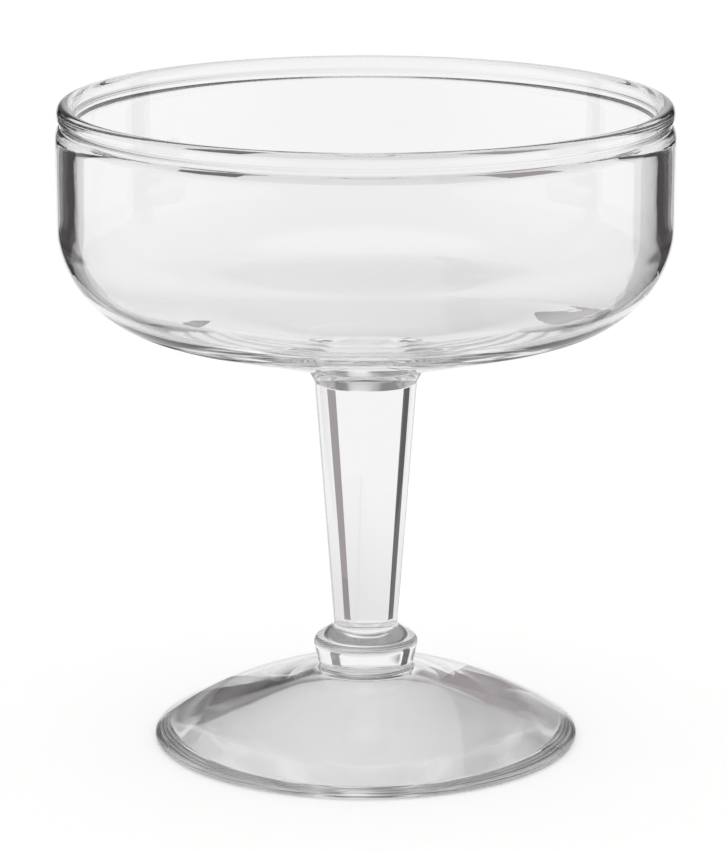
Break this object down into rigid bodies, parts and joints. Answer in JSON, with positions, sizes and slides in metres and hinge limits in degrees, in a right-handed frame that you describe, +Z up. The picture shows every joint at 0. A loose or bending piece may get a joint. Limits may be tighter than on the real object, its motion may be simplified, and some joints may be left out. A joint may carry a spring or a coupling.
{
  "type": "margarita glass",
  "caption": "Clear pressed-glass margarita glass: a wide straight-sided bowl with a beaded rim, on a tapered solid stem, a knop and a hollow domed foot.",
  "frame": {"origin": "on the glass's axis, on the surface that its foot stands on", "axes": "+Z up along the axis, from the foot towards the rim; X and Y lie in the surface, and no direction round the axis stands out"},
  "size_m": [0.115, 0.115, 0.1224],
  "materials": {
    "clear_glass": "clear colourless pressed glass, fire polished, glossy all over"
  },
  "bodies": {
    "root": {"margarita_glass": "clear_glass"}
  },
  "joints": []
}
